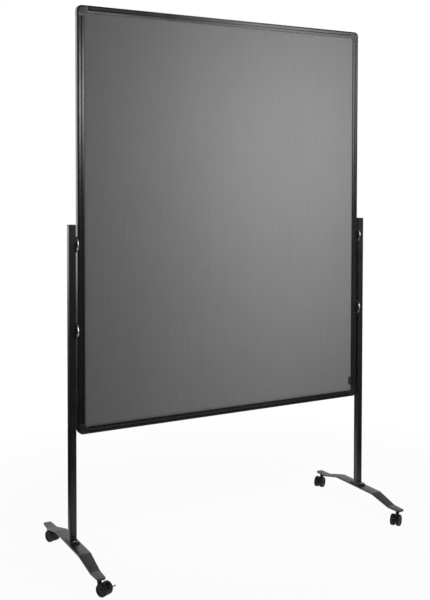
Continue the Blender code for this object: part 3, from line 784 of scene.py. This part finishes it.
def make_flange(side, sign):
    x = sign * POST_X
    low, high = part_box(f"post_flange_{side}")
    middle = (low + high) / 2
    outline = rounded_box((high.x - low.x) / 2, (high.y - low.y) / 2, 0.005)
    flange = extrusion(f"flange_{side}", [outline], (high.z - low.z) / 2, axes((1, 0, 0), (0, 1, 0), middle))
    soften(flange, 0.0009)
    for end, way in ENDS.items():
        screw_low, screw_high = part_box(f"flange_screw_{end}_{side}")
        place = (screw_low + screw_high) / 2
        start, stop = (place.x, place.y, low.z - 0.001), (place.x, place.y, high.z + 0.001)
        boolean(flange, cylinder("bore", 0.0033, start, stop), "DIFFERENCE")
        make_screw(end, side, place, screw_low.z, screw_high.z, high.z + GAP)
    finish(flange, "steel", "stand", [f"post_flange_{side}"])
    make_weld(side, x, high.z)


def make_screw(end, side, place, low, high, seat):
    """Button-head screw with a hexagon socket."""
    head = high - seat
    profile = [(0, high)] + arc((0.0022, seat + 0.0006), (0.0028, head - 0.0006), 90, 0, 8)
    profile += [(0.0050, seat), (0.0030, seat), (0.0030, low + 0.0004), (0.0026, low), (0, low)]
    screw = turned(f"socket_screw_{end}_{side}", profile, 48)
    socket = cylinder("socket", 0.0017, (0, 0, high - 0.0016), (0, 0, high + 0.001), sides=6)
    boolean(screw, socket, "DIFFERENCE")
    screw.location = (place.x, place.y, 0)
    finish(screw, "zinc", "stand", [f"flange_screw_{end}_{side}"])


def make_weld(side, x, base):
    """A rippled weld bead round the foot of the post, on its flange."""
    path = rounded_box(POST_HALF + 0.0002, POST_HALF + 0.0002, 0.0027, 10)
    dense = []
    for (x0, y0), (x1, y1) in zip(path, path[1:] + path[:1]):
        count = max(1, round(math.hypot(x1 - x0, y1 - y0) / 0.0012))
        dense += [(x0 + (x1 - x0) * i / count, y0 + (y1 - y0) * i / count) for i in range(count)]
    rings = []
    for i, (px, py) in enumerate(dense):
        before, after = Vector(dense[i - 1]), Vector(dense[(i + 1) % len(dense)])
        along = (after - before).normalized()
        outward = Vector((along.y, -along.x))
        size = 0.0021 * (1 + 0.10 * math.sin(i * 2.1) + 0.10 * noise.noise((px * 300, py * 300, x)))
        ring = []
        for a, b in ((0, 0), (1, 0), (0.80, 0.40), (0.40, 0.80), (0, 1)):
            ring.append((x + px + outward.x * a * size, py + outward.y * a * size, base + 0.0002 + b * size))
        rings.append(ring)
    weld = loft(f"post_weld_{side}", rings, closed=True)
    finish(weld, "steel", "stand", sharp=60)


# Castors


def make_castor(end, side):
    name = f"{end}_{side}"
    axle_low, axle_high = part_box(f"castor_axle_{name}")
    axle = (axle_low + axle_high) / 2
    stem_low, stem_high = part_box(f"castor_stem_{name}")
    stem = (stem_low + stem_high) / 2
    trail = Vector((axle.x - stem.x, axle.y - stem.y, 0)).normalized()
    yaw = math.atan2(trail.y, trail.x)
    turn = Matrix.Translation((stem.x, stem.y, 0)) @ Matrix.Rotation(yaw, 4, "Z")
    make_housing(end, side, turn)
    make_stem(name, stem, stem_low.z, stem_high.z)
    for label, way in {"a": 1, "b": -1}.items():
        make_wheel(name, label, turn @ Matrix.Translation((CASTOR_TRAIL, 0, WHEEL_RADIUS)), way)


def make_housing(end, side, turn):
    """Web between the wheels with its neck and collar, as one moulding."""
    name = f"{end}_{side}"
    side_view = turn @ axes((1, 0, 0), (0, 0, 1))
    radius, neck, neck_top = WHEEL_RADIUS - 0.0008, NECK_HALF - 0.0004, COLLAR_TOP - 0.0033
    meets_neck = math.degrees(math.acos((neck - CASTOR_TRAIL) / radius))
    hood = arc((CASTOR_TRAIL, WHEEL_RADIUS), radius, -25, meets_neck, 40)
    front = [(neck, neck_top), (-neck, neck_top), (-neck, 0.030)]
    underside = [(0.001, 0.0125), (0.010, 0.0065), (0.028, 0.0065)]
    housing = extrusion(f"castor_body_{name}", [hood + front + underside], WEB_HALF, side_view)
    soften(housing, 0.0007, 3, angle=30)
    low, high = 0.0387, COLLAR_TOP - 0.0030
    place = turn @ Matrix.Translation((0, 0, (low + high) / 2))
    neck_block = extrusion("neck", [rounded_box(NECK_HALF, NECK_HALF, 0.0022)], (high - low) / 2, place)
    boolean(housing, soften(neck_block, 0.0008, 3), "UNION")
    profile = [(0, COLLAR_TOP), (0.0074, COLLAR_TOP), (0.0080, COLLAR_TOP - 0.0006)]
    profile += [(0.0080, COLLAR_TOP - 0.0024), (0.0066, COLLAR_TOP - 0.0042), (0, COLLAR_TOP - 0.0042)]
    collar = turned("collar", profile, 64)
    collar.data.transform(turn)
    boolean(housing, collar, "UNION")
    if f"brake_lever_{name}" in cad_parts:
        slot = [(0.0288, 0.0280), (0.0600, 0.0280), (0.0600, 0.0600), (0.0288, 0.0600)]
        boolean(housing, extrusion("lever_slot", [slot], 0.0027, side_view), "DIFFERENCE")
    finish(housing, "plastic", f"castor_{name}", [f"castor_housing_{name}"], sharp=40)


def make_stem(name, stem, low, high):
    """Castor stem with its round flange under the foot, and its riveted end on top of the foot."""
    underside = FOOT_END_TOP - FOOT_THICKNESS
    profile = [(0, high), (0.0050, high), (0.0050, underside - GAP), (0.0070, underside - GAP)]
    profile += [(0.0075, underside - 0.0008), (0.0075, COLLAR_TOP + 0.0008), (0.0070, COLLAR_TOP + GAP)]
    profile += [(STEM_RADIUS, COLLAR_TOP + GAP), (STEM_RADIUS, low + 0.0005), (STEM_RADIUS - 0.0005, low)]
    profile += [(0, low)]
    piece = turned(f"stem_{name}", profile, 48)
    piece.location = (stem.x, stem.y, 0)
    finish(piece, "plastic", "stand", [f"castor_stem_{name}"])
    rivet = [(0, 0.0007), (0.0022, 0.0006), (0.0036, 0.0002)]
    rivet += [(0.0040, -0.0002), (0.0040, -0.0006), (0, -0.0006)]
    head = turned(f"stem_rivet_{name}", [(r, FOOT_END_TOP + z) for r, z in rivet], 40)
    head.location = (stem.x, stem.y, 0)
    finish(head, "steel", "stand")


def make_wheel(name, label, centre, way):
    """A wheel: tread ring and a dished hub cap, turned about the castor's axle."""
    inner, outer = WHEEL_INNER, WHEEL_INNER + WHEEL_WIDTH
    bore, shoulder, rim = AXLE_RADIUS + GAP, 0.0024, WHEEL_RADIUS - 0.0046
    tread = [(rim, outer - 0.0014), (rim + 0.0006, outer - 0.0003)]
    tread += arc((WHEEL_RADIUS - shoulder, outer - shoulder), shoulder, 90, 0, 8)
    tread += arc((WHEEL_RADIUS - shoulder, inner + shoulder), shoulder, 0, -90, 8)
    tread += [(rim, inner), (rim, outer - 0.0014)]
    hub = [(0, outer - 0.0006), (0.0046, outer - 0.0007), (0.0056, outer - 0.0014), (0.0062, outer - 0.0026)]
    hub += [(rim - 0.0036, outer - 0.0030), (rim - 0.0026, outer - 0.0020), (rim - 0.0012, outer - 0.0012)]
    hub += [(rim, outer - 0.0014), (rim, inner), (bore, inner), (bore, inner + 0.010), (0, inner + 0.010)]
    body = f"castor_wheel_{label}_{name}"
    turn = centre @ Matrix.Rotation(-way * math.pi / 2, 4, "X")
    for part, profile, material in (("tread", tread, "tread"), ("hub", hub, "plastic")):
        piece = turned(f"wheel_{part}_{label}_{name}", profile, 72)
        piece.matrix_world = turn
        finish(piece, material, body, [body] if part == "tread" else [], sharp=40)


def dress(node, material):
    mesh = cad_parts[node].data
    mesh.materials.clear()
    mesh.materials.append(MATERIALS[material])


# Studio


def ranged(tree, value, start, end, low, high):
    node = tree.nodes.new("ShaderNodeMapRange")
    for socket, number in (("From Min", start), ("From Max", end), ("To Min", low), ("To Max", high)):
        node.inputs[socket].default_value = number
    tree.links.new(value, node.inputs["Value"])
    return node.outputs["Result"]


def make_world():
    """White as the camera sees it; it lights from behind the board, most from a panel to the left."""
    world = bpy.data.worlds.new("studio")
    bpy.context.scene.world = world
    world.use_nodes = True
    tree = world.node_tree
    background = tree.nodes["Background"]
    background.inputs["Color"].default_value = (1, 1, 1, 1)
    direction = tree.nodes.new("ShaderNodeTexCoord").outputs["Generated"]
    split = tree.nodes.new("ShaderNodeSeparateXYZ")
    tree.links.new(direction, split.inputs[0])
    toward_panel = tree.nodes.new("ShaderNodeVectorMath")
    toward_panel.operation = "DOT_PRODUCT"
    toward_panel.inputs[1].default_value = Vector(PANEL_DIRECTION).normalized()
    tree.links.new(direction, toward_panel.inputs[0])
    glow = ranged(tree, split.outputs["Y"], 0.0, 0.75, ROOM_LIGHT, BACKDROP_LIGHT)
    panel = ranged(tree, toward_panel.outputs["Value"], 0.90, 0.98, 0.0, PANEL_LIGHT)
    total = tree.nodes.new("ShaderNodeMath")
    total.operation = "ADD"
    tree.links.new(glow, total.inputs[0])
    tree.links.new(panel, total.inputs[1])
    seen = tree.nodes.new("ShaderNodeMix")
    tree.links.new(tree.nodes.new("ShaderNodeLightPath").outputs["Is Camera Ray"], seen.inputs["Factor"])
    tree.links.new(total.outputs[0], seen.inputs["A"])
    seen.inputs["B"].default_value = 1.0
    tree.links.new(seen.outputs["Result"], background.inputs["Strength"])


FLOOR_RADIUS = 9.0
FLOOR_DROP = 0.0002


def make_floor():
    """A pale floor that keeps a faint contact shadow, fades into the white backdrop, and glows near
    the feet as they mirror it.
    """
    circle = mesh_from(
        lambda shape: bmesh.ops.create_circle(shape, cap_ends=True, segments=96, radius=FLOOR_RADIUS)
    )
    floor = thing("floor", circle)
    floor.location.z = -FLOOR_DROP
    material = bpy.data.materials.new("pale_floor")
    material.use_nodes = True
    tree = material.node_tree
    shader = tree.nodes["Principled BSDF"]
    shader.inputs["Base Color"].default_value = (0.80, 0.80, 0.80, 1)
    shader.inputs["Roughness"].default_value = 0.9
    shader.inputs["Specular IOR Level"].default_value = 0.1
    white = tree.nodes.new("ShaderNodeEmission")
    white.inputs["Strength"].default_value = 1.0
    place = tree.nodes.new("ShaderNodeTexCoord").outputs["Object"]
    length = tree.nodes.new("ShaderNodeVectorMath")
    length.operation = "LENGTH"
    tree.links.new(place, length.inputs[0])
    fade = ranged(tree, length.outputs["Value"], 0.6, 1.8, 0.94, 1.0)
    near = ranged(tree, length.outputs["Value"], 0.75, 1.25, 0.85, 0.03)
    far = ranged(tree, length.outputs["Value"], 1.8, 7.0, 0.0, 0.9)
    brightness = tree.nodes.new("ShaderNodeMath")
    brightness.operation = "ADD"
    tree.links.new(near, brightness.inputs[0])
    tree.links.new(far, brightness.inputs[1])
    tree.links.new(brightness.outputs[0], shader.inputs["Base Color"])
    lit = ranged(tree, length.outputs["Value"], 0.74, 0.98, 0.60, 0.0)
    seen = tree.nodes.new("ShaderNodeMix")
    tree.links.new(tree.nodes.new("ShaderNodeLightPath").outputs["Is Camera Ray"], seen.inputs["Factor"])
    tree.links.new(lit, seen.inputs["A"])
    tree.links.new(fade, seen.inputs["B"])
    mix = tree.nodes.new("ShaderNodeMixShader")
    tree.links.new(seen.outputs["Result"], mix.inputs["Fac"])
    tree.links.new(shader.outputs[0], mix.inputs[1])
    tree.links.new(white.outputs[0], mix.inputs[2])
    tree.links.new(mix.outputs[0], tree.nodes["Material Output"].inputs["Surface"])
    floor.data.materials.append(material)


def soft_box(name, place, target, size, power, glossy=True, diffuse=True):
    """A round lamp that the camera doesn't see; it may be left out of gloss or of diffuse light."""
    light = bpy.data.lights.new(name, "AREA")
    light.shape = "DISK"
    light.size = size
    light.energy = power
    lamp = bpy.data.objects.new(name, light)
    bpy.context.scene.collection.objects.link(lamp)
    lamp.location = place
    lamp.rotation_euler = (Vector(target) - Vector(place)).to_track_quat("-Z", "Y").to_euler()
    lamp.visible_camera = False
    lamp.visible_glossy = glossy
    lamp.visible_diffuse = diffuse


def make_studio():
    bpy.context.scene.view_settings.view_transform = "Standard"
    make_world()
    make_floor()
    soft_box("key", (2.15, -3.0, 2.10), (0.25, 0, 1.2), 1.5, 28)
    soft_box("key_top", (2.0, -3.0, 2.90), (0.25, 0, 1.2), 0.9, 6.5)
    soft_box("overhead", (1.9, -2.6, 4.1), (0.25, 0, 1.4), 0.9, 10)
    soft_box("second", (0.50, -3.0, 1.90), (0, 0, 1.3), 0.64, 15, diffuse=False)
    soft_box("side_left", (-3.0, 0.1, 1.2), (-0.6, 0, 1.1), 1.4, 9, diffuse=False)
    soft_box("side_right", (3.0, 0.1, 1.2), (0.6, 0, 1.1), 1.4, 6, diffuse=False)
    soft_box("pool", (0.30, -0.9, 1.58), (0.30, 0, 1.58), 0.7, 12.9, glossy=False)
    soft_box("pool_low", (0.32, -0.8, 0.80), (0.32, 0, 0.80), 0.7, 2.9, glossy=False)


# The photograph's view
CAMERA_PLACE = (-1.6924, -3.1177, 1.3650)
CAMERA_YAW, CAMERA_PITCH, CAMERA_ROLL = 30.484, -1.812, 0.179
CAMERA_LENS = 55.823
CAMERA_SHIFT = (-0.0756, -0.1559)


def make_camera():
    data = bpy.data.cameras.new("camera")
    data.sensor_width, data.lens = 36.0, CAMERA_LENS
    data.shift_x, data.shift_y = CAMERA_SHIFT
    camera = bpy.data.objects.new("camera", data)
    bpy.context.scene.collection.objects.link(camera)
    yaw, pitch, roll = (math.radians(angle) for angle in (CAMERA_YAW, CAMERA_PITCH, CAMERA_ROLL))
    ahead = Vector((math.sin(yaw) * math.cos(pitch), math.cos(yaw) * math.cos(pitch), math.sin(pitch)))
    right = Vector((math.cos(yaw), -math.sin(yaw), 0))
    up = right.cross(ahead)
    tilted_right = right * math.cos(roll) + up * math.sin(roll)
    tilted_up = up * math.cos(roll) - right * math.sin(roll)
    turn = Matrix((tilted_right, tilted_up, -ahead)).transposed().to_4x4()
    camera.matrix_world = Matrix.Translation(CAMERA_PLACE) @ turn
    bpy.context.scene.camera = camera


def main():
    make_frame()
    for face, sign in {"front": -1, "back": 1}.items():
        make_fabric(face, sign)
    make_edge_tab()
    dress("core_panel", "core")
    for side, sign in SIDES.items():
        make_foot(side, sign)
        make_flange(side, sign)
        make_post(side, sign)
        for level in LEVELS:
            make_clamp(level, side)
            dress(f"clamp_stud_{level}_{side}", "zinc")
            dress(f"slide_nut_{level}_{side}", "zinc")
        for end in ENDS:
            make_castor(end, side)
            dress(f"castor_axle_{end}_{side}", "zinc")
            if f"brake_lever_{end}_{side}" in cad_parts:
                dress(f"brake_lever_{end}_{side}", "plastic")
    make_studio()
    make_camera()


main()
